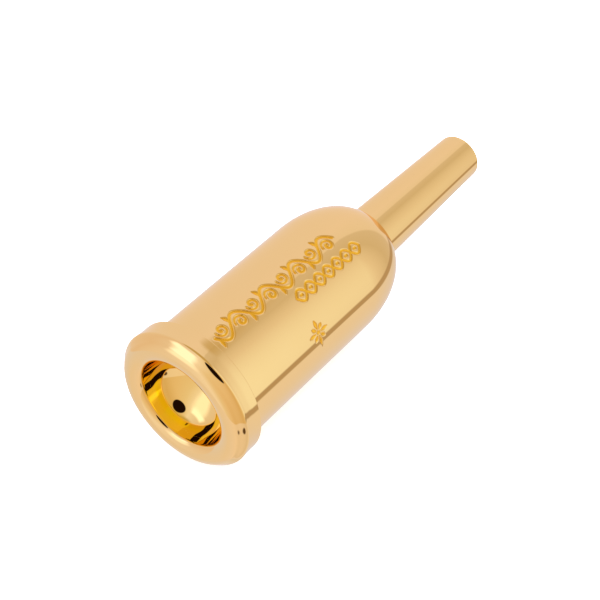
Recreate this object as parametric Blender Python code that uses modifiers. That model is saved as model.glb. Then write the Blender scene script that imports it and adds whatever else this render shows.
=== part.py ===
"""Brass-instrument mouthpiece with a heavy bottle-shaped jacket, as a turned assembly.

The mouthpiece lies on its side, with its axis on the Y axis: the player's rim faces -Y, the
shank points along +Y, and the origin is half-way along.  Every piece is turned about that axis,
so each one is a closed profile of (distance behind the lip, radius) points with a Screw
modifier.  The profile runs down the outer side from front to back, then up the inner side.
"""
import math

import bmesh
import bpy

MM = 0.001

# Driving dimensions, in millimetres
LENGTH = 88.0
GAP = 0.3                  # between pieces that rest on each other
THREAD_CLEARANCE = 0.2     # radial, between a plain spigot and its socket

# Headings along a profile: (distance walked, degrees from the axis), positive away from it
LIP_RADIUS = 10.78         # radius of the lip's crest
LIP_HEADINGS = ((0, 90), (0.7, 74), (1.4, 57), (2.1, 40), (2.7, 43), (3.2, 39),
                (3.6, 30), (4.0, -7), (4.5, -3), (5.2, -3), (6.0, 0))
COLLAR_RADIUS = 13.55
COLLAR_END = 5.75
COLLAR_EDGE_ROUND = 0.12

BITE_RADIUS = 8.66
BITE_POSITION = 1.37
WALL_HEADINGS = ((0, -9), (1.5, -13), (3, -24.5), (5, -43.5), (7, -50.5), (9, -53))
SHOULDER_RADIUS = 3.2      # where the bowl starts to turn into the throat
SHOULDER_STEPS = 5
THROAT_RADIUS = 1.85
THROAT_END = 14.0

RIM_SEAT = 2.45            # the shoulder inside the rim
RIM_THREAD_RADIUS = 10.5
CUP_LAND_END = 11.0
CUP_NECK_START = 24.0
CUP_NECK_RADIUS = 6.7
CUP_END = 30.0
RELIEF_LENGTH = 1.6        # the thread's run-out, behind the collar's seat
RELIEF_DEPTH = 0.4

SOCKET_START = 22.0
SPIGOT_RADIUS = 4.5
SHANK_END_RADIUS = 4.76
SHANK_TAPER = 0.025        # radius gained per millimetre towards the rim, 1:20 on the diameter
BACKBORE_END_RADIUS = 4.1
BACKBORE_POWER = 0.75
SHANK_EDGE_ROUND = 0.25

JACKET_RADIUS = 12.11
JACKET_SEAT = 5.0          # floor of the collar's recess, which takes the front of the jacket
JACKET_START = JACKET_SEAT + GAP
DOME_START = 40.7
DOME_LENGTH = 14.67
DOME_DROP = 8.27
DOME_END_RADIUS = 6.15
JACKET_EDGE_ROUND = 0.15
JACKET_FRONT_BORE = RIM_THREAD_RADIUS + GAP
JACKET_MID_BORE = 7.1
JACKET_CONE_START = 12.0
JACKET_CONE_END = 25.0
JACKET_REAR_BORE_START = 46.0

RING_CORD_RADIUS = 0.5
FRONT_RING_POSITION = 8.6
REAR_RING_POSITION = 50.5
RING_GROOVE_WIDTH = 1.6

TURN_STEPS = 64
RING_STEPS = 48
LIP_STEP = 0.25            # between the points of a walked profile
BOWL_STEP = 0.6
MERGE_DISTANCE = 0.00001

GOLD = (0.83, 0.55, 0.22, 1.0)
RUBBER = (0.02, 0.02, 0.02, 1.0)


def clear_scene():
    for obj in list(bpy.data.objects):
        bpy.data.objects.remove(obj, do_unlink=True)
    for collection in list(bpy.data.collections):
        bpy.data.collections.remove(collection)


def make_material(name, color, metallic, roughness):
    material = bpy.data.materials.new(name)
    material.use_nodes = True
    shader = material.node_tree.nodes["Principled BSDF"]
    shader.inputs["Base Color"].default_value = color
    shader.inputs["Metallic"].default_value = metallic
    shader.inputs["Roughness"].default_value = roughness
    material.diffuse_color = color
    return material


def arc(centre_s, centre_r, size_s, size_r, start_deg, end_deg, count):
    """Points on an ellipse arc; 0 degrees points out along the radius, 90 towards the shank."""
    points = []
    for i in range(count + 1):
        angle = math.radians(start_deg + (end_deg - start_deg) * i / count)
        points.append((centre_s + size_s * math.sin(angle), centre_r + size_r * math.cos(angle)))
    return points


def heading_at(headings, walked):
    """The heading after walking some distance, between the listed headings."""
    for (near, first), (far, second) in zip(headings, headings[1:]):
        if walked <= far:
            return first + (second - first) * (walked - near) / (far - near)
    return headings[-1][1]


def walk(start, headings, step, goes_on):
    """Points of a profile walked in even steps from its start for as long as goes_on(s, r) holds."""
    points = [start]
    while goes_on(*points[-1]):
        angle = math.radians(heading_at(headings, (len(points) - 0.5) * step))
        s, r = points[-1]
        points.append((s + step * math.cos(angle), r + step * math.sin(angle)))
    return points


def bowl_path():
    """The cup's wall from the bite to the throat: a steep wall, a V-shaped floor, a round shoulder."""
    wall = walk((BITE_POSITION, BITE_RADIUS), WALL_HEADINGS, BOWL_STEP,
                lambda s, r: r > SHOULDER_RADIUS)
    slope = -WALL_HEADINGS[-1][1]
    start, radius = wall[-1]
    size = (radius - THROAT_RADIUS) / (1 - math.cos(math.radians(slope)))
    throat = start + size * math.sin(math.radians(slope))
    return wall[:-1] + arc(throat, THROAT_RADIUS + size, size, -size, -slope, 0, SHOULDER_STEPS)


def radius_on(path, position):
    """The radius of a path where it passes a distance behind the lip."""
    for (s0, r0), (s1, r1) in zip(path, path[1:]):
        if s0 <= position <= s1:
            return r0 + (r1 - r0) * (position - s0) / (s1 - s0)
    return path[-1][1]


def shank_radius(s):
    return SHANK_END_RADIUS + (LENGTH - s) * SHANK_TAPER


def backbore_radius(s):
    share = (s - THROAT_END) / (LENGTH - THROAT_END)
    return THROAT_RADIUS + (BACKBORE_END_RADIUS - THROAT_RADIUS) * share ** BACKBORE_POWER


def sampled(radius_at, start, end, count):
    return [(s, radius_at(s)) for s in (start + (end - start) * i / count for i in range(count + 1))]


def groove(position, land_radius, floor_radius):
    """A square groove cut in a land, front to back."""
    front = position - RING_GROOVE_WIDTH / 2
    back = position + RING_GROOVE_WIDTH / 2
    return [(front, land_radius), (front, floor_radius), (back, floor_radius), (back, land_radius)]


def turned(name, profile, material, steps=TURN_STEPS):
    """Turn a closed (distance, radius) profile into an object about the mouthpiece's axis."""
    mesh = bpy.data.meshes.new(name)
    shape = bmesh.new()
    verts = [shape.verts.new((r * MM, 0.0, -s * MM)) for s, r in profile]
    for vert, following in zip(verts, verts[1:] + verts[:1]):
        shape.edges.new((vert, following))
    shape.to_mesh(mesh)
    shape.free()
    mesh.materials.append(material)
    obj = bpy.data.objects.new(name, mesh)
    screw = obj.modifiers.new("Turn", "SCREW")
    screw.axis = "Z"
    screw.angle = 2 * math.pi
    screw.steps = steps
    screw.render_steps = steps
    screw.use_merge_vertices = True
    screw.merge_threshold = MERGE_DISTANCE
    screw.use_smooth_shade = True
    return obj


def make_rim(gold):
    outer = walk((0.0, LIP_RADIUS), LIP_HEADINGS, LIP_STEP, lambda s, r: s < COLLAR_END - 1)
    outer += arc(COLLAR_END - COLLAR_EDGE_ROUND, COLLAR_RADIUS - COLLAR_EDGE_ROUND,
                 COLLAR_EDGE_ROUND, COLLAR_EDGE_ROUND, 0, 90, 2)
    recess = JACKET_RADIUS + GAP
    thread = RIM_THREAD_RADIUS + THREAD_CLEARANCE
    bowl = bowl_path()
    inner = [(COLLAR_END, recess), (JACKET_SEAT, recess), (JACKET_SEAT, thread)]
    inner += [(RIM_SEAT, thread), (RIM_SEAT, radius_on(bowl, RIM_SEAT))]
    inner += [point for point in reversed(bowl[1:]) if point[0] < RIM_SEAT - LIP_STEP / 2]
    inner += arc(BITE_POSITION, LIP_RADIUS, BITE_POSITION, BITE_RADIUS - LIP_RADIUS, 0, -90, 7)
    return turned("rim", outer + inner[:-1], gold)


def make_cup(gold):
    front = RIM_SEAT + GAP
    relief_radius = RIM_THREAD_RADIUS - RELIEF_DEPTH
    groove_floor = JACKET_FRONT_BORE - 2 * (RING_CORD_RADIUS + GAP)
    relief_end = JACKET_SEAT + RELIEF_LENGTH
    outer = [(front, RIM_THREAD_RADIUS), (JACKET_SEAT - RELIEF_DEPTH, RIM_THREAD_RADIUS)]
    outer += [(JACKET_SEAT, relief_radius), (relief_end - RELIEF_DEPTH, relief_radius)]
    outer += [(relief_end, RIM_THREAD_RADIUS)]
    outer += groove(FRONT_RING_POSITION, RIM_THREAD_RADIUS, groove_floor)
    outer += [(CUP_LAND_END, RIM_THREAD_RADIUS), (CUP_NECK_START, CUP_NECK_RADIUS)]
    outer += [(CUP_END, CUP_NECK_RADIUS)]
    socket = SPIGOT_RADIUS + THREAD_CLEARANCE
    inner = [(CUP_END, socket), (SOCKET_START, socket)]
    inner += list(reversed(sampled(backbore_radius, THROAT_END, SOCKET_START, 3)))
    bowl = bowl_path()
    inner += [point for point in reversed(bowl) if point[0] > front + BOWL_STEP / 2]
    inner += [(front, radius_on(bowl, front))]
    return turned("cup", outer + inner, gold)


def make_jacket(gold):
    dome_base = JACKET_RADIUS - DOME_DROP
    dome_end_angle = math.degrees(math.acos((DOME_END_RADIUS - dome_base) / DOME_DROP))
    outer = arc(JACKET_START + JACKET_EDGE_ROUND, JACKET_RADIUS - JACKET_EDGE_ROUND,
                JACKET_EDGE_ROUND, JACKET_EDGE_ROUND, -90, 0, 2)
    outer += arc(DOME_START, dome_base, DOME_LENGTH, DOME_DROP, 0, dome_end_angle, 14)
    dome_end = outer[-1][0]
    groove_floor = shank_radius(REAR_RING_POSITION) + 2 * (RING_CORD_RADIUS + GAP)
    bore = [(JACKET_START, JACKET_FRONT_BORE), (JACKET_CONE_START, JACKET_FRONT_BORE)]
    bore += [(JACKET_CONE_END, JACKET_MID_BORE), (JACKET_REAR_BORE_START, JACKET_MID_BORE)]
    bore += [(JACKET_REAR_BORE_START + 1, shank_radius(JACKET_REAR_BORE_START + 1) + GAP)]
    bore += groove(REAR_RING_POSITION, shank_radius(REAR_RING_POSITION) + GAP, groove_floor)
    bore += [(dome_end, shank_radius(dome_end) + GAP)]
    return turned("jacket", outer + list(reversed(bore)), gold)


def make_shank(gold):
    front = SOCKET_START + GAP
    shoulder = CUP_END + GAP
    outer = [(front, SPIGOT_RADIUS), (shoulder, SPIGOT_RADIUS), (shoulder, shank_radius(shoulder))]
    outer += arc(LENGTH - SHANK_EDGE_ROUND, SHANK_END_RADIUS - SHANK_EDGE_ROUND,
                 SHANK_EDGE_ROUND, SHANK_EDGE_ROUND, 0, 90, 3)
    inner = list(reversed(sampled(backbore_radius, front, LENGTH, 8)))
    return turned("shank", outer + inner, gold)


def make_ring(name, position, centre_radius, rubber):
    section = arc(position, centre_radius, RING_CORD_RADIUS, RING_CORD_RADIUS, 0, 360, 8)
    return turned(name, section[:-1], rubber, RING_STEPS)


def main():
    clear_scene()
    collection = bpy.data.collections.new("mouthpiece")
    bpy.context.scene.collection.children.link(collection)
    axis = bpy.data.objects.new("mouthpiece_axis", None)
    axis.location = (0.0, -LENGTH / 2 * MM, 0.0)
    axis.rotation_euler = (math.pi / 2, 0.0, 0.0)
    collection.objects.link(axis)

    rubber = make_material("rubber", RUBBER, 0.0, 0.6)
    front_ring_radius = JACKET_FRONT_BORE - GAP - RING_CORD_RADIUS
    rear_ring_radius = shank_radius(REAR_RING_POSITION) + GAP + RING_CORD_RADIUS
    pieces = [
        make_rim(make_material("rim_gold", GOLD, 1.0, 0.08)),
        make_cup(make_material("cup_gold", GOLD, 1.0, 0.08)),
        make_jacket(make_material("jacket_gold", GOLD, 1.0, 0.08)),
        make_shank(make_material("shank_gold", GOLD, 1.0, 0.08)),
        make_ring("front_o_ring", FRONT_RING_POSITION, front_ring_radius, rubber),
        make_ring("rear_o_ring", REAR_RING_POSITION, rear_ring_radius, rubber),
    ]
    for piece in pieces:
        collection.objects.link(piece)
        piece.parent = axis


main()
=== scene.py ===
"""Looks of the gold-plated mouthpiece: finely turned, polished pieces around the CAD frame.

Shapes are worked out in millimetres. A profile point is (s, r): the distance behind the lip, and
the distance from the mouthpiece's axis, which is the frame's Y axis.
"""
import math

import bpy
import numpy as np
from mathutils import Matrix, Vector


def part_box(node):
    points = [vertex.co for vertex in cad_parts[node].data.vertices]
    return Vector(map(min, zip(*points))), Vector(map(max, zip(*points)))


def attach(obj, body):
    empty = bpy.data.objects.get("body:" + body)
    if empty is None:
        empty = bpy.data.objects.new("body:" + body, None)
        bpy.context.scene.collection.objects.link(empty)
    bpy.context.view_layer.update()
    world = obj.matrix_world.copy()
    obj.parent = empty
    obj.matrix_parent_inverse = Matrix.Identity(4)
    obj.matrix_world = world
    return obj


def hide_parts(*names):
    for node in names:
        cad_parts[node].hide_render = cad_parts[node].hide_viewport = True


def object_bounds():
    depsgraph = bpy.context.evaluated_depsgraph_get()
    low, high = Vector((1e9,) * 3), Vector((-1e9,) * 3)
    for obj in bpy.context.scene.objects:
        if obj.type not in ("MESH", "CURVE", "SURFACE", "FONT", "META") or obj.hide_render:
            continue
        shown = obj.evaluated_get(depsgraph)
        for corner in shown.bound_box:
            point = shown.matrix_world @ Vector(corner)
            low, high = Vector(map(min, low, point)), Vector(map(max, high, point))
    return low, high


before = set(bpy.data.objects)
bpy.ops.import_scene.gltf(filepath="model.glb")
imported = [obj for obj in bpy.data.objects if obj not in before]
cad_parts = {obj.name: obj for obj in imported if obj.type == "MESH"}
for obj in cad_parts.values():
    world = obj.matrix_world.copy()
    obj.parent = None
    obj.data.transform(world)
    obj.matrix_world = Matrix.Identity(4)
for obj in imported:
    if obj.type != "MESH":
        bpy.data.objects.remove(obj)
cad_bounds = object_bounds()

MM = 0.001

# ---------------------------------------------------------------- the frame, in millimetres


def node_span(node):
    """Distances behind the lip where a node starts and ends, and its outer radius."""
    low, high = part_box(node)
    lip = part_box("rim")[0].y
    return (low.y - lip) / MM, (high.y - lip) / MM, (high.x - low.x) / 2 / MM


LIP_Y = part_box("rim")[0].y
COLLAR_END, RIM_RADIUS = node_span("rim")[1:]
CUP_FRONT, CUP_END, CUP_RADIUS = node_span("cup")
JACKET_FRONT, JACKET_END, JACKET_RADIUS = node_span("jacket")
SHANK_FRONT, LENGTH = node_span("shank")[:2]

# ---------------------------------------------------------------- sizes of the visible shapes

# Rim and bowl. Headings are (distance walked along the profile, degrees from the axis).
LIP_CREST = 10.78
LIP_HEADINGS = ((0, 90), (0.7, 74.1), (1.4, 56.9), (2.1, 39.7), (2.7, 43.2), (3.2, 38.7),
                (3.6, 30), (4.0, -6.8), (4.5, -3.1), (5.2, -3), (6, 0))
BITE_RADIUS = 8.66             # the inner edge of the lip, where the bowl starts
BITE_POSITION = 1.37
WALL_HEADINGS = ((0, -8.8), (1.5, -13.2), (3, -24.5), (5, -43.5), (7, -50.6), (9, -53))
SHOULDER_RADIUS = 3.2          # where the bowl's floor starts to round over into the throat
THROAT_RADIUS = 1.85
THROAT_END = 14.0
RIM_SEAT = CUP_FRONT - 0.3
JACKET_SEAT = JACKET_FRONT - 0.3
SEAM = 0.002                   # between the rim and the cup, where they meet in the bowl
RIM_FIT = 0.35                 # clearance of the rim's thread round the cup
JACKET_FIT = 0.05              # clearance of the rim's recess round the jacket

# Cup, outside: thread, relief, a land with the front ring's groove, a cone, the shank's socket
CUP_THREAD_PITCH = 0.6
CUP_THREAD_DEPTH = 0.25
CUP_RELIEF = (4.6, 5.0, 6.2, 6.6)
CUP_RELIEF_DEPTH = 0.4
FRONT_GROOVE = (7.8, 9.4)
FRONT_GROOVE_RADIUS = 9.2
CUP_CONE = (11.0, 24.0)
CUP_TAIL_RADIUS = 6.7
SOCKET_START = 22.0
SOCKET_RADIUS = 4.7

# Shank and backbore
SHANK_TAPER = 0.025
SHANK_END_RADIUS = 4.76
BACKBORE_END_RADIUS = 4.1
BACKBORE_FLARE = 0.75
SPIGOT_RADIUS = 4.5
SPIGOT_THREAD_PITCH = 0.7
SPIGOT_THREAD_DEPTH = 0.3

# Jacket
JACKET_EDGE = 0.12             # radius of its front edge
ENGRAVED_START = 6.6           # nothing in front of it is engraved
DOME_START = 40.7
DOME_LENGTH = 14.67
DOME_DROP = 8.27
DOME_FLAT_END = 11             # degrees of the dome's arc that the engraving may reach
DOME_LIP = 0.25                # the dome's small flat end round the shank
REAR_FIT = 0.08                # clearance of the dome's opening round the shank
REAR_GROOVE = (49.7, 51.3)
REAR_GROOVE_RADIUS = 7.28
REAR_LAND_START = 47.0
REAR_LAND_FIT = 0.3
CAVITY = ((46.0, 7.1), (25.0, 7.1), (12.0, 10.8))

# Spacing of the meshes' points
TURN_COLUMNS = 256
CRISP = 0.003                  # how close a support point sits to a sharp corner
THREAD_STEP = 0.12
PLAIN_STEP = 1.0
LIP_STEP = 0.06
BOWL_STEP = 0.1
ENGRAVING_STEP = 0.12
ENGRAVED_SIDE = (-7.3, 9.3)    # round the jacket, from the line that faces the viewer
COARSE_COLUMNS = 84            # round the rest of the jacket
RING_POINTS = 28


def arc(centre_s, centre_r, size_s, size_r, start_deg, end_deg, count):
    """Points on an ellipse arc; 0 degrees points out along the radius, 90 towards the shank."""
    angles = np.radians(np.linspace(start_deg, end_deg, count + 1))
    return [(centre_s + size_s * math.sin(a), centre_r + size_r * math.cos(a)) for a in angles]


def rounded(corners, fillet, segments=4):
    """An open path through the corners, each inner corner rounded with its own small arc."""
    path = [corners[0]]
    for before, corner, after in zip(corners, corners[1:], corners[2:]):
        corner = np.array(corner)
        back = np.array(before) - corner
        ahead = np.array(after) - corner
        reach = min(fillet, 0.4 * np.linalg.norm(back), 0.4 * np.linalg.norm(ahead))
        start = corner + back / np.linalg.norm(back) * reach
        end = corner + ahead / np.linalg.norm(ahead) * reach
        path.append(tuple(corner + back / np.linalg.norm(back) * reach * 1.5))
        for i in range(segments + 1):
            t = i / segments
            path.append(tuple((1 - t) ** 2 * start + 2 * t * (1 - t) * corner + t ** 2 * end))
        path.append(tuple(corner + ahead / np.linalg.norm(ahead) * reach * 1.5))
    path.append(corners[-1])
    return path


def dense(path, spacing, thread_start=0.0, thread_end=0.0):
    """The same path with extra points, so that no step is longer than the spacing, or than
    THREAD_STEP where there is a thread."""
    result = []
    for (s0, r0), (s1, r1) in zip(path, path[1:]):
        threaded = thread_start <= min(s0, s1) and max(s0, s1) <= thread_end
        longest = THREAD_STEP if threaded else spacing
        steps = max(1, math.ceil(math.hypot(s1 - s0, r1 - r0) / longest))
        result += [(s0 + (s1 - s0) * i / steps, r0 + (r1 - r0) * i / steps) for i in range(steps)]
    return result + [path[-1]]


def walk(start, headings, step, blur):
    """A path walked in even steps along headings that turn smoothly."""
    walked = np.arange(step / 2, headings[-1][0] + 4, step)
    heading = np.interp(walked, *zip(*headings))
    reach = max(1, round(blur / step))
    window = np.ones(2 * reach + 1) / (2 * reach + 1)
    heading = np.radians(np.convolve(np.pad(heading, reach, "edge"), window, "valid"))
    s = start[0] + np.concatenate([[0], np.cumsum(step * np.cos(heading))])
    r = start[1] + np.concatenate([[0], np.cumsum(step * np.sin(heading))])
    return np.stack([s, r], axis=1)


def cut_at(path, position, keep_front):
    """The part of a path before or behind a distance, with a crisp corner where it is cut."""
    side = -1 if keep_front else 1
    kept = path[(path[:, 0] - position) * side > 0.03]
    ends = [(s, np.interp(s, path[:, 0], path[:, 1])) for s in (position + side * CRISP, position)]
    joined = [kept, ends] if keep_front else [ends[::-1], kept]
    return [tuple(point) for point in np.concatenate(joined)]


def thread(start, end, pitch, depth):
    """Radius change of a helical thread that fades in and out over one pitch."""
    def change(s, angle):
        ridge = 0.5 + 0.5 * np.cos(2 * math.pi * (s / pitch - angle / (2 * math.pi)))
        fade = np.clip((s - start) / pitch, 0, 1) * np.clip((end - s) / pitch, 0, 1)
        return -np.where((s > start) & (s < end), depth * ridge * fade, 0)
    return change


def turned(name, outer, inner, angles=None, change_outer=None, engrave=None):
    """A closed ring of quads turned about the mouthpiece's axis from an outer and an inner path."""
    if angles is None:
        angles = np.arange(TURN_COLUMNS) * 2 * math.pi / TURN_COLUMNS
    path = np.array(outer + inner)
    s, angle = np.meshgrid(path[:, 0], angles, indexing="ij")
    r = np.repeat(path[:, 1][:, None], len(angles), axis=1)
    split = len(outer)
    if change_outer:
        r[:split] += change_outer(s[:split], angle[:split])
    cut = np.zeros_like(r)
    if engrave:
        depth, cut[:split] = engrave(s[:split], angle[:split])
        r[:split] -= depth
    points = np.stack([r * np.sin(angle), s + LIP_Y / MM, r * np.cos(angle)], axis=-1) * MM
    rows, columns = r.shape
    i, j = np.meshgrid(np.arange(rows), np.arange(columns), indexing="ij")
    row, next_row = i * columns, (i + 1) % rows * columns
    next_j = (j + 1) % columns
    quads = np.stack([row + j, next_row + j, next_row + next_j, row + next_j], axis=-1)
    mesh = bpy.data.meshes.new(name)
    mesh.from_pydata(points.reshape(-1, 3), [], quads.reshape(-1, 4).tolist())
    mesh.shade_smooth()
    if engrave:
        layer = mesh.attributes.new("engraved", "FLOAT", "POINT")
        layer.data.foreach_set("value", cut.reshape(-1).astype(np.float32))
    obj = bpy.data.objects.new(name, mesh)
    bpy.context.scene.collection.objects.link(obj)
    return obj


# ---------------------------------------------------------------- engraved ornament

FACING_ANGLE = math.radians(33.4)      # the side of the jacket that faces the viewer
GROOVE_DEPTH = 0.15
VINE_START, VINE_MIDDLE, VINE_LOBES, VINE_LOBE = 7.6, -4.3, 8, 4.05
VINE_HEIGHT, VINE_WIDTH = 1.75, 0.34
SCROLL_RADIUS, SCROLL_TURNS, SCROLL_WIDTHS = 1.35, 1.15, (0.22, 0.3, 0.4)
LEAF_WIDTHS = (0.12, 0.42, 0.05)
BRAID_START, BRAID_MIDDLE, BRAID_EYES, BRAID_EYE = 24.8, -0.15, 7, 2.6
BRAID_HEIGHT, BRAID_WIDTH, BEAD_WIDTH = 1.15, 0.28, 0.34
FLOWER_CENTRE, FLOWER_BEAD_WIDTH = (24.9, 7.0), 0.42
PETAL_START, PETAL_ENDS, PETAL_WIDTHS = 0.62, (2.3, 1.7), (0.1, 0.38, 0.05)


def spiral(centre, radius, turns, start_deg, clockwise, count=40):
    """A scroll that winds in to a small eye."""
    t = np.linspace(0, 1, count)
    r = radius * (1 - 0.8 * t)
    a = math.radians(start_deg) + (-1 if clockwise else 1) * turns * 2 * math.pi * t
    return np.stack([centre[0] + r * np.cos(a), centre[1] + r * np.sin(a)], axis=1)


def curve(start, end, bulge, count=9):
    """A stroke from start to end that bows to one side."""
    t = np.linspace(0, 1, count)[:, None]
    start, end = np.array(start), np.array(end)
    side = np.array([-(end - start)[1], (end - start)[0]]) * bulge
    return (1 - t) * start + t * end + 4 * t * (1 - t) * side


def wave(start, middle, half_length, count, height):
    """A sine wave of so many half waves along the sleeve."""
    s = np.linspace(start, start + count * half_length, count * 16 + 1)
    return np.stack([s, middle + height * np.sin((s - start) / half_length * math.pi)], axis=1)


def bead(centre, half_length):
    """A dot, as a very short stroke."""
    return np.array([centre - (half_length, 0), centre + (half_length, 0)])


def ornament_strokes():
    """Strokes as (points, half widths), in mm on the sleeve: distance behind the lip, and
    distance round the sleeve from the line that faces the viewer."""
    strokes = []

    def stroke(points, *widths):
        spread = np.interp(np.linspace(0, 1, len(points)), np.linspace(0, 1, len(widths)), widths)
        strokes.append((points, spread))

    # a running vine, with a scroll in each bend and a leaf at each crossing
    vine = wave(VINE_START, VINE_MIDDLE, VINE_LOBE, VINE_LOBES, VINE_HEIGHT)
    stroke(vine, VINE_WIDTH, VINE_WIDTH)
    for k in range(VINE_LOBES):
        side = 1 if k % 2 == 0 else -1
        root = VINE_START + k * VINE_LOBE
        centre = (root + 0.52 * VINE_LOBE, VINE_MIDDLE - 0.55 * side)
        stroke(spiral(centre, SCROLL_RADIUS, SCROLL_TURNS, 180, side > 0), *SCROLL_WIDTHS)
        leaf_start = (root + 0.2, VINE_MIDDLE + 0.5 * side)
        leaf_tip = (root + 0.1, VINE_MIDDLE + 2.2 * side)
        stroke(curve(leaf_start, leaf_tip, -0.15 * side), *LEAF_WIDTHS)
    # a plaited band with a bead in each eye
    for height in (BRAID_HEIGHT, -BRAID_HEIGHT):
        strand = wave(BRAID_START, BRAID_MIDDLE, BRAID_EYE, BRAID_EYES, height)
        stroke(strand, BRAID_WIDTH, BRAID_WIDTH)
    for k in range(BRAID_EYES):
        eye = np.array([BRAID_START + (k + 0.5) * BRAID_EYE, BRAID_MIDDLE])
        stroke(bead(eye, 0.12), BEAD_WIDTH, BEAD_WIDTH)
    # a flower of eight petals, long and short in turn, round a bead
    centre = np.array(FLOWER_CENTRE)
    stroke(bead(centre, 0.05), FLOWER_BEAD_WIDTH, FLOWER_BEAD_WIDTH)
    for k in range(8):
        a = math.radians(k * 45)
        away = np.array([math.cos(a), math.sin(a)])
        petal = curve(centre + PETAL_START * away, centre + PETAL_ENDS[k % 2] * away, 0)
        stroke(petal, *PETAL_WIDTHS)
    return strokes


def engraving(s, angle):
    """Depth of the ornament's grooves, and how far a point is inside one, from 0 to 1."""
    around = (angle - FACING_ANGLE + math.pi) % (2 * math.pi) - math.pi
    t = around * JACKET_RADIUS
    closest = np.full(s.shape, 1.5)        # distance to a stroke's middle, in half widths
    for points, widths in ornament_strokes():
        for a, b, w in zip(points, points[1:], widths):
            near = (np.abs(s - (a[0] + b[0]) / 2) < 1.0) & (np.abs(t - (a[1] + b[1]) / 2) < 1.0)
            if not near.any():
                continue
            ds, dt = b[0] - a[0], b[1] - a[1]
            along = ((s[near] - a[0]) * ds + (t[near] - a[1]) * dt) / (ds * ds + dt * dt)
            along = np.clip(along, 0, 1)
            gap = np.hypot(s[near] - a[0] - along * ds, t[near] - a[1] - along * dt) / w
            closest[near] = np.minimum(closest[near], gap)
    wall = np.clip((1.12 - closest) / 0.55, 0, 1)
    cut = wall * wall * (3 - 2 * wall)
    return GROOVE_DEPTH * cut, cut


# ---------------------------------------------------------------- pieces


def bowl_path():
    """The cup's wall from the bite to the throat: a steep wall, a V-shaped floor, a shoulder."""
    wall = walk((BITE_POSITION, BITE_RADIUS), WALL_HEADINGS, BOWL_STEP, 0.3)
    wall = wall[wall[:, 1] > SHOULDER_RADIUS]
    slope = -WALL_HEADINGS[-1][1]
    start, radius = wall[-1]
    size = (radius - THROAT_RADIUS) / (1 - math.cos(math.radians(slope)))
    throat = start + size * math.sin(math.radians(slope))
    turn = arc(throat, THROAT_RADIUS + size, size, -size, -slope, 0, 24)
    return np.concatenate([wall[:-1], turn])


def backbore_radius(s):
    share = (s - THROAT_END) / (LENGTH - THROAT_END)
    return THROAT_RADIUS + (BACKBORE_END_RADIUS - THROAT_RADIUS) * share ** BACKBORE_FLARE


def shank_radius(s):
    return SHANK_END_RADIUS + (LENGTH - s) * SHANK_TAPER


def make_rim():
    """Lip and collar outside; recess, plain thread seat and the front of the bowl inside."""
    lip = walk((0, LIP_CREST), LIP_HEADINGS, LIP_STEP, 0.12)
    lip[:, 1] *= min(1, RIM_RADIUS / lip[:, 1].max())
    lip = [tuple(p) for p in lip[lip[:, 0] < COLLAR_END - 0.35]]
    collar_radius = lip[-1][1]
    recess = JACKET_RADIUS + JACKET_FIT
    thread_radius = CUP_RADIUS + RIM_FIT
    bowl = cut_at(bowl_path(), RIM_SEAT, True)
    seat = rounded([(COLLAR_END - 0.3, collar_radius), (COLLAR_END, collar_radius),
                    (COLLAR_END, recess)], 0.09)
    back = rounded([(COLLAR_END, recess), (JACKET_SEAT, recess), (JACKET_SEAT, thread_radius),
                    (RIM_SEAT, thread_radius), (RIM_SEAT, bowl[-1][1] + 0.1)], 0.05)
    inner = dense(back[1:], THREAD_STEP) + [(RIM_SEAT, bowl[-1][1] + CRISP)] + bowl[::-1][:-1]
    inner += arc(BITE_POSITION, LIP_CREST, BITE_POSITION, BITE_RADIUS - LIP_CREST, 0, -90, 36)[:-1]
    return turned("rim_ring", lip + seat, inner)


def make_cup():
    """Thread, relief, ring groove and cone outside; socket, backbore, throat and bowl inside."""
    relief = CUP_RADIUS - CUP_RELIEF_DEPTH
    relief_start, floor_start, floor_end, relief_end = CUP_RELIEF
    groove_start, groove_end = FRONT_GROOVE
    cone_start, cone_end = CUP_CONE
    front = RIM_SEAT + SEAM
    bowl = cut_at(bowl_path(), front, False)
    corners = [(front, bowl[0][1] + 0.1), (front, CUP_RADIUS),
               (relief_start, CUP_RADIUS), (floor_start, relief),
               (floor_end, relief), (relief_end, CUP_RADIUS),
               (groove_start, CUP_RADIUS), (groove_start, FRONT_GROOVE_RADIUS),
               (groove_end, FRONT_GROOVE_RADIUS), (groove_end, CUP_RADIUS),
               (cone_start, CUP_RADIUS), (cone_end, CUP_TAIL_RADIUS),
               (CUP_END, CUP_TAIL_RADIUS), (CUP_END, SOCKET_RADIUS),
               (SOCKET_START, SOCKET_RADIUS), (SOCKET_START, backbore_radius(SOCKET_START))]
    outside = dense(rounded(corners, 0.12), PLAIN_STEP, front, relief_start + 0.1)
    outer = [(front, bowl[0][1] + CRISP)] + outside
    bore = [(s, backbore_radius(s)) for s in np.linspace(SOCKET_START, THROAT_END, 20)[1:]]
    bore += [(s, THROAT_RADIUS) for s in np.linspace(THROAT_END, bowl[-1][0] + 0.1, 12)[1:]]
    rings = thread(front + 0.2, relief_start + 0.3, CUP_THREAD_PITCH, CUP_THREAD_DEPTH)
    return turned("cup_core", outer, bore + bowl[::-1], change_outer=rings)


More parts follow.
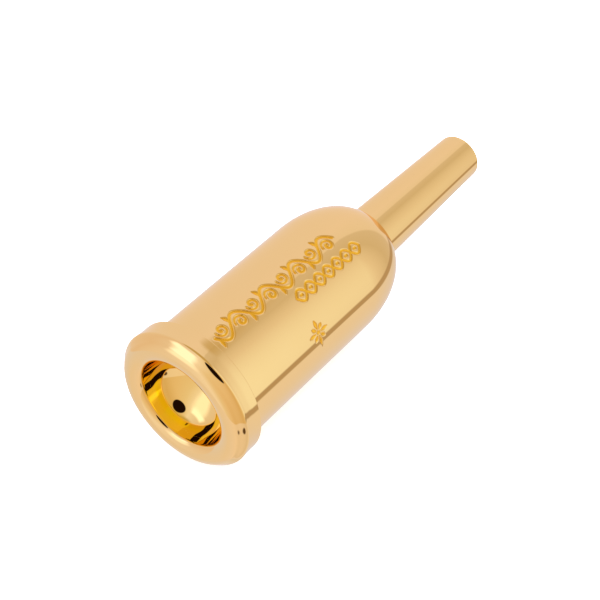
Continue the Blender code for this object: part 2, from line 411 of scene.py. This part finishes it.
def make_jacket():
    """The engraved sleeve and its dome outside; rear ring groove and cavity inside."""
    rear_bore = shank_radius(JACKET_END) + REAR_FIT
    dome_base = JACKET_RADIUS - DOME_DROP
    dome_end_radius = rear_bore + 0.45
    dome_end_deg = math.degrees(math.acos((dome_end_radius - dome_base) / DOME_DROP))
    front = arc(JACKET_FRONT + JACKET_EDGE, JACKET_RADIUS - JACKET_EDGE,
                JACKET_EDGE, JACKET_EDGE, -90, 0, 4)
    cylinder = [(s, JACKET_RADIUS) for s in np.arange(ENGRAVED_START, DOME_START, ENGRAVING_STEP)]
    dome = arc(DOME_START, dome_base, DOME_LENGTH, DOME_DROP, 0, DOME_FLAT_END, 22)[:-1]
    dome += arc(DOME_START, dome_base, DOME_LENGTH, DOME_DROP, DOME_FLAT_END, dome_end_deg, 48)
    outer = front + cylinder + dome
    end = outer[-1][0] + DOME_LIP
    groove_start, groove_end = REAR_GROOVE
    corners = [outer[-1], (end, dome_end_radius - 0.2), (end, rear_bore),
               (groove_end, shank_radius(groove_end) + REAR_LAND_FIT),
               (groove_end, REAR_GROOVE_RADIUS), (groove_start, REAR_GROOVE_RADIUS),
               (groove_start, shank_radius(groove_start) + REAR_LAND_FIT),
               (REAR_LAND_START, shank_radius(REAR_LAND_START) + REAR_LAND_FIT),
               *CAVITY, (JACKET_FRONT, CAVITY[-1][1]), front[0]]
    inner = rounded(corners, 0.15, 2)[1:-1]
    fine_angles = np.arange(*ENGRAVED_SIDE, ENGRAVING_STEP) / JACKET_RADIUS
    rest = np.linspace(fine_angles[-1], fine_angles[0] + 2 * math.pi, COARSE_COLUMNS)[1:-1]
    angles = np.concatenate([fine_angles, rest]) + FACING_ANGLE
    return turned("jacket_sleeve", outer, dense(inner, 2.5), angles=angles, engrave=engraving)


def make_shank():
    """The threaded spigot and the tapered tube outside, the flared backbore inside."""
    shoulder = CUP_END + 0.05
    bore_edge = LENGTH - 1.0
    corners = [(SHANK_FRONT, backbore_radius(SHANK_FRONT)), (SHANK_FRONT, SPIGOT_RADIUS),
               (shoulder, SPIGOT_RADIUS), (shoulder, shank_radius(shoulder)),
               (LENGTH, SHANK_END_RADIUS), (LENGTH, BACKBORE_END_RADIUS),
               (bore_edge, backbore_radius(bore_edge))]
    outer = dense(rounded(corners, 0.22), PLAIN_STEP, SHANK_FRONT, shoulder)
    inner = [(s, backbore_radius(s)) for s in np.linspace(bore_edge, SHANK_FRONT, 60)[1:-1]]
    rings = thread(SHANK_FRONT + 0.3, shoulder - 0.6, SPIGOT_THREAD_PITCH, SPIGOT_THREAD_DEPTH)
    return turned("shank_tube", outer, inner, change_outer=rings)


def make_o_ring(name, node):
    """A rubber ring of round section that fills its node."""
    start, end, radius = node_span(node)
    cord = (end - start) / 2
    section = arc((start + end) / 2, radius - cord, cord, cord, -180, 180, RING_POINTS)[:-1]
    return turned(name, section[:RING_POINTS // 2], section[RING_POINTS // 2:])


# ---------------------------------------------------------------- node building


class Nodes:
    """Adds nodes to a tree. A value is another node's output, a number or a colour."""

    def __init__(self, tree):
        self.tree = tree

    def new(self, kind):
        return self.tree.nodes.new(kind)

    def feed(self, socket, value):
        """Links a socket to an output, or sets it to a number or a colour."""
        if isinstance(value, tuple):
            socket.default_value = (*value, 1)
        elif isinstance(value, (int, float)):
            socket.default_value = value
        else:
            self.tree.links.new(value, socket)

    def math(self, operation, first, second=None):
        node = self.new("ShaderNodeMath")
        node.operation = operation
        self.feed(node.inputs[0], first)
        if second is not None:
            self.feed(node.inputs[1], second)
        return node.outputs[0]

    def span(self, value, low, high, to_low=0.0, to_high=1.0, smooth=False):
        """The value taken from between low and high to between two others, and held there."""
        node = self.new("ShaderNodeMapRange")
        if smooth:
            node.interpolation_type = "SMOOTHSTEP"
        self.feed(node.inputs["Value"], value)
        self.feed(node.inputs["From Min"], low)
        self.feed(node.inputs["From Max"], high)
        self.feed(node.inputs["To Min"], to_low)
        self.feed(node.inputs["To Max"], to_high)
        return node.outputs["Result"]

    def mix(self, factor, first, second, kind="RGBA"):
        node = self.new("ShaderNodeMix")
        node.data_type = kind
        self.feed(node.inputs["Factor"], factor)
        self.feed(node.inputs["A"], first)
        self.feed(node.inputs["B"], second)
        return node.outputs["Result"]

    def noise(self, scale, detail=2.0, place=None):
        node = self.new("ShaderNodeTexNoise")
        node.inputs["Scale"].default_value = scale
        node.inputs["Detail"].default_value = detail
        if place is not None:
            self.feed(node.inputs["Vector"], place)
        return node.outputs["Fac"]


# ---------------------------------------------------------------- materials

PALE_GOLD, DEEP_GOLD = (0.935, 0.615, 0.225), (0.925, 0.600, 0.210)
# the bowl's tones: random clouds as elsewhere, painted a shade yellower for the gold that the bowl
# reflects
PALE_BOWL_TONE_AND_REFLECTION, DEEP_BOWL_TONE_AND_REFLECTION = (0.935, 0.625, 0.205), (0.925, 0.615, 0.195)
# painted reflection: a deep gold on the bowl's steep wall, standing in for the gold it mirrors
PAINTED_WALL_REFLECTION = (0.94, 0.67, 0.05)
GROUND_GOLD = (0.98, 0.51, 0.035)      # in the grooves of the engraving
EDGE_TINT = (1.0, 0.93, 0.80)          # towards which gold pales at grazing angles
POLISH = (0.008, 0.03)                 # roughness of the plate, least and most
GROUND_ROUGHNESS = 0.28
BORE_ROUGHNESS = 0.45
BORE_BLEND = 0.1                       # over which the satin bore turns into polish
CLOUD_SCALE = 140
PAINTED_REFLECTION_RADII = (7.9, 8.7)                 # radii between which the bowl's wall gets the painted reflection


def new_surface(name):
    """A new material, its node builder and its shader."""
    material = bpy.data.materials.new(name)
    material.use_nodes = True
    nodes = Nodes(material.node_tree)
    return material, nodes, nodes.tree.nodes["Principled BSDF"]


def axis_distance(nodes, place):
    """Distance of a point of the mouthpiece from its axis, in metres."""
    flat = nodes.new("ShaderNodeVectorMath")
    flat.operation = "MULTIPLY"
    flat.inputs[1].default_value = (1, 0, 1)
    nodes.feed(flat.inputs[0], place)
    radius = nodes.new("ShaderNodeVectorMath")
    radius.operation = "LENGTH"
    nodes.feed(radius.inputs[0], flat.outputs[0])
    return radius.outputs["Value"]


def painted_reflection_share(nodes, place, radius):
    """Share of the painted reflection: 1 on the steep wall of the bowl, 0 on the lip, on the
    floor and outside the cup.
    """
    steep = nodes.new("ShaderNodeValToRGB")
    nodes.feed(steep.inputs[0], nodes.span(radius, PAINTED_REFLECTION_RADII[0] * MM, PAINTED_REFLECTION_RADII[1] * MM))
    ends = steep.color_ramp.elements
    ends[0].position, ends[0].color = 0, (0, 0, 0, 1)
    ends[1].position, ends[1].color = 1, (0, 0, 0, 1)
    ends.new(0.4).color = (1, 1, 1, 1)
    ends.new(0.95).color = (1, 1, 1, 1)
    parts = nodes.new("ShaderNodeSeparateXYZ")
    nodes.feed(parts.inputs[0], place)
    inside = nodes.span(parts.outputs["Y"], LIP_Y + (THROAT_END - 1) * MM,
                        LIP_Y + (THROAT_END - 3) * MM)
    return nodes.math("MULTIPLY", steep.outputs[0], inside)


def gold(name, pale, deep, engraved=False, wall=None, bore=None):
    """Polished plate: a faintly cloudy colour and gloss, a matt ground in the engraving, a
    painted reflection of deeper gold on the bowl's steep wall, and a satin finish inside the bore's
    radius."""
    material, nodes, shader = new_surface(name)
    shader.inputs["Metallic"].default_value = 1.0
    nodes.feed(shader.inputs["Specular Tint"], EDGE_TINT)
    place = nodes.new("ShaderNodeTexCoord").outputs["Object"]
    clouds = nodes.noise(CLOUD_SCALE, 4, place)
    color = nodes.mix(clouds, deep, pale)
    roughness = nodes.span(clouds, 0, 1, *POLISH)
    radius = axis_distance(nodes, place)
    if bore:
        satin = nodes.span(radius, (bore + BORE_BLEND) * MM, bore * MM)
        roughness = nodes.mix(satin, roughness, BORE_ROUGHNESS, "FLOAT")
    # painted reflection: the bowl's steep wall turns a deeper gold
    if wall:
        color = nodes.mix(painted_reflection_share(nodes, place, radius), color, wall)
    if engraved:
        cut = nodes.new("ShaderNodeAttribute")
        cut.attribute_name = "engraved"
        color = nodes.mix(cut.outputs["Fac"], color, GROUND_GOLD)
        roughness = nodes.mix(cut.outputs["Fac"], roughness, GROUND_ROUGHNESS, "FLOAT")
    nodes.feed(shader.inputs["Base Color"], color)
    nodes.feed(shader.inputs["Roughness"], roughness)
    return material


def rubber():
    """Matt black rubber with a fine grain."""
    material, nodes, shader = new_surface("o_ring_rubber")
    tone = nodes.mix(nodes.noise(900), (0.012, 0.012, 0.013), (0.03, 0.03, 0.032))
    nodes.feed(shader.inputs["Base Color"], tone)
    shader.inputs["Roughness"].default_value = 0.5
    return material


# ---------------------------------------------------------------- studio

# The light tent's colours as (azimuth, colour), above and below the edge of the table
TENT_WALLS = (
    (-180, (0.98, 1.02, 1.35)), (-150, (0.90, 0.92, 1.22)), (-110, (0.85, 0.78, 0.92)),
    (-60, (0.88, 0.88, 1.14)), (-20, (0.91, 0.90, 1.18)), (3.6, (0.88, 0.88, 1.10)),
    (4.6, (0.75, 0.73, 0.84)), (24, (0.71, 0.68, 0.72)), (42, (0.86, 0.86, 1.00)),
    (58, (1.02, 1.14, 1.40)), (78, (0.92, 0.89, 0.88)), (95, (0.81, 0.68, 0.51)),
    (115, (0.76, 0.62, 0.45)), (140, (0.86, 0.75, 0.68)), (160, (0.88, 0.84, 0.86)),
    (180, (0.98, 1.02, 1.35)))
TENT_TABLE = (
    (-180, (0.90, 0.90, 1.19)), (-150, (0.88, 0.88, 1.12)), (-110, (0.82, 0.89, 1.36)),
    (-60, (0.87, 0.91, 1.15)), (-20, (0.79, 0.82, 1.00)), (20, (0.83, 0.88, 1.28)),
    (60, (0.92, 0.92, 1.15)), (100, (0.80, 0.77, 0.89)), (140, (0.95, 0.92, 1.15)),
    (180, (0.90, 0.90, 1.19)))
GAP_COLOR = (0.52, 0.44, 0.41)
STRIP_COLOR = (1.4, 1.6, 2.35)
# Round patches: azimuth, elevation, radius and softness in degrees, then the colour
TOP_PATCH = (5, 82, 26, 5), (0.60, 0.50, 0.31)
SIDE_PATCH = (118.5, -37.5, 5, 1.5), (0.12, 0.08, 0.05)
SOFTBOX = (-157, 26, 18, 8), (1.25, 1.38, 1.9)
CAMERA_PORT = (138.9, 46.4, 17.2, 1.2), (0.012, 0.005, 0.002)

FLOOR_CLEARANCE = 0.00005
FLOOR_SIZE = 4
FLOOR_GLOW = 0.62

CAMERA_AZIMUTH, CAMERA_ELEVATION, CAMERA_DISTANCE = 37.086, 42.484, 0.25115
CAMERA_TARGET = (0.00028, LIP_Y + 33.88 * MM, -0.00012)
CAMERA_LENS = 82.84


def direction(azimuth, elevation):
    """A direction in the frame: azimuth 0 along +Y and growing towards +X, both in degrees."""
    a, e = math.radians(azimuth), math.radians(elevation)
    return Vector((math.cos(e) * math.sin(a), math.cos(e) * math.cos(a), math.sin(e)))


class Sky(Nodes):
    """Builds the light tent around the mouthpiece as colours by direction."""

    def __init__(self):
        world = bpy.data.worlds.new("light_tent")
        world.use_nodes = True
        bpy.context.scene.world = world
        super().__init__(world.node_tree)
        self.tree.nodes.clear()
        self.way = self.new("ShaderNodeTexCoord").outputs["Generated"]
        parts = self.new("ShaderNodeSeparateXYZ")
        self.feed(parts.inputs[0], self.way)
        x, y, z = parts.outputs
        self.azimuth = self.math("DEGREES", self.math("ARCTAN2", x, y))
        self.elevation = self.math("DEGREES", self.math("ARCSINE", z))

    def step(self, value, low, high):
        """0 below low, 1 above high, smooth between."""
        return self.span(value, low, high, smooth=True)

    def step_down(self, value, low, high):
        """1 below low, 0 above high, smooth between."""
        return self.step(self.math("MULTIPLY", value, -1), -high, -low)

    def by_azimuth(self, stops):
        """A colour that changes with azimuth, from (azimuth, colour) stops."""
        ramp = self.new("ShaderNodeValToRGB")
        turn = self.math("DIVIDE", self.math("ADD", self.azimuth, 180), 360)
        self.feed(ramp.inputs[0], turn)
        elements = ramp.color_ramp.elements
        while len(elements) > 1:
            elements.remove(elements[-1])
        elements[0].position = (stops[0][0] + 180) / 360
        elements[0].color = (*stops[0][1], 1)
        for azimuth, color in stops[1:]:
            elements.new((azimuth + 180) / 360).color = (*color, 1)
        return ramp.outputs[0]

    def disc(self, azimuth, elevation, radius, softness):
        """1 inside a round patch of the tent, 0 outside."""
        node = self.new("ShaderNodeVectorMath")
        node.operation = "DOT_PRODUCT"
        self.feed(node.inputs[0], self.way)
        node.inputs[1].default_value = direction(azimuth, elevation)
        angle = self.math("DEGREES", self.math("ARCCOSINE", node.outputs["Value"]))
        return self.step(self.math("SUBTRACT", radius, angle), -softness, softness)

    def band(self, low, high, softness):
        """1 between two elevations."""
        above = self.step(self.elevation, low - softness, low + softness)
        below = self.step_down(self.elevation, high - softness, high + softness)
        return self.math("MULTIPLY", above, below)

    def finish(self, color):
        """Reflections see the tent; the camera sees plain white past the floor."""
        light = self.new("ShaderNodeBackground")
        self.feed(light.inputs["Color"], color)
        white = self.new("ShaderNodeBackground")
        white.inputs["Color"].default_value = (1, 1, 1, 1)
        both = self.new("ShaderNodeMixShader")
        self.feed(both.inputs[0], self.new("ShaderNodeLightPath").outputs["Is Camera Ray"])
        self.feed(both.inputs[1], light.outputs[0])
        self.feed(both.inputs[2], white.outputs[0])
        self.feed(self.new("ShaderNodeOutputWorld").inputs["Surface"], both.outputs[0])


def light_tent():
    """Walls and table, a dim gap where they meet, softboxes, and the camera's dark opening."""
    sky = Sky()
    walls = sky.by_azimuth(TENT_WALLS)
    table = sky.by_azimuth(TENT_TABLE)
    tent = sky.mix(sky.step(sky.elevation, -27, -25), table, walls)
    gap = sky.math("MULTIPLY", sky.band(-26, -18, 1.5), sky.step(sky.azimuth, -20, 5))
    gap = sky.math("MULTIPLY", gap, sky.step_down(sky.azimuth, 65, 95))
    tent = sky.mix(gap, tent, GAP_COLOR)
    for patch, color in (TOP_PATCH, SIDE_PATCH, SOFTBOX):
        tent = sky.mix(sky.disc(*patch), tent, color)
    strip = sky.math("MULTIPLY", sky.step(sky.azimuth, -181, -168), sky.band(34, 49, 4))
    strip = sky.math("MULTIPLY", strip, sky.step_down(sky.azimuth, -134, -118))
    tent = sky.mix(strip, tent, STRIP_COLOR)
    port, dark = CAMERA_PORT
    tent = sky.mix(sky.disc(*port), tent, dark)
    sky.finish(tent)


def make_floor():
    """A wide, evenly lit sheet of pale paper under the mouthpiece."""
    bpy.ops.mesh.primitive_grid_add(x_subdivisions=8, y_subdivisions=8, size=FLOOR_SIZE)
    floor = bpy.context.object
    floor.name = "floor"
    floor.location.z = cad_bounds[0][2] - FLOOR_CLEARANCE
    material, nodes, shader = new_surface("floor_paper")
    tone = nodes.mix(nodes.noise(400, 3), (0.90, 0.90, 0.90), (0.94, 0.94, 0.94))
    nodes.feed(shader.inputs["Base Color"], tone)
    shader.inputs["Roughness"].default_value = 0.9
    shader.inputs["Emission Color"].default_value = (1, 1, 1, 1)
    shader.inputs["Emission Strength"].default_value = FLOOR_GLOW
    floor.data.materials.append(material)
    floor.visible_glossy = False


def make_key_light():
    """A soft light from straight above, which the polished gold does not reflect."""
    data = bpy.data.lights.new("overhead_softbox", "AREA")
    data.shape = "DISK"
    data.size = 1.2
    data.energy = 12
    light = bpy.data.objects.new("overhead_softbox", data)
    light.location = (0, 0, 0.9)
    light.visible_glossy = False
    bpy.context.scene.collection.objects.link(light)


def make_camera():
    """The photograph's camera, which looks at the mouthpiece from in front and above."""
    azimuth, elevation = math.radians(CAMERA_AZIMUTH), math.radians(CAMERA_ELEVATION)
    view = Vector((-math.sin(azimuth) * math.cos(elevation),
                   math.cos(azimuth) * math.cos(elevation),
                   -math.sin(elevation)))
    data = bpy.data.cameras.new("camera")
    data.sensor_width = 36
    data.lens = CAMERA_LENS
    data.clip_start = 0.01
    camera = bpy.data.objects.new("camera", data)
    camera.location = Vector(CAMERA_TARGET) - view * CAMERA_DISTANCE
    camera.rotation_euler = view.to_track_quat("-Z", "Y").to_euler()
    bpy.context.scene.collection.objects.link(camera)
    bpy.context.scene.camera = camera


def main():
    bpy.context.scene.view_settings.view_transform = "Standard"
    tube = gold("tube_gold", PALE_GOLD, DEEP_GOLD, bore=BACKBORE_END_RADIUS + 0.05)
    # the lip and the bowl carry the painted reflection on the bowl's steep wall
    lip = gold("lip_gold_painted_reflection", PALE_GOLD, DEEP_GOLD, wall=PAINTED_WALL_REFLECTION)
    engraved = gold("engraved_gold", PALE_GOLD, DEEP_GOLD, engraved=True)
    # the cup's tones are painted a shade yellower, a painted reflection of the gold round the bowl
    bowl = gold("bowl_gold_painted_reflection", PALE_BOWL_TONE_AND_REFLECTION, DEEP_BOWL_TONE_AND_REFLECTION, wall=PAINTED_WALL_REFLECTION)
    seal = rubber()
    pieces = [
        (make_rim(), "rim", "rim", "rim_gold", lip),
        (make_cup(), "cup", "cup", "cup_gold", bowl),
        (make_jacket(), "jacket", "jacket", "jacket_gold", engraved),
        (make_shank(), "shank", "shank", "shank_gold", tube),
        (make_o_ring("front_seal", "front_o_ring"), "front_o_ring", "cup", "rubber", seal),
        (make_o_ring("rear_seal", "rear_o_ring"), "rear_o_ring", "jacket", "rubber", seal),
    ]
    for piece, node, body, slot, material in pieces:
        piece.data.materials.append(material)
        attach(piece, body)
        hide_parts(node)
    light_tent()
    make_floor()
    make_key_light()
    make_camera()


main()
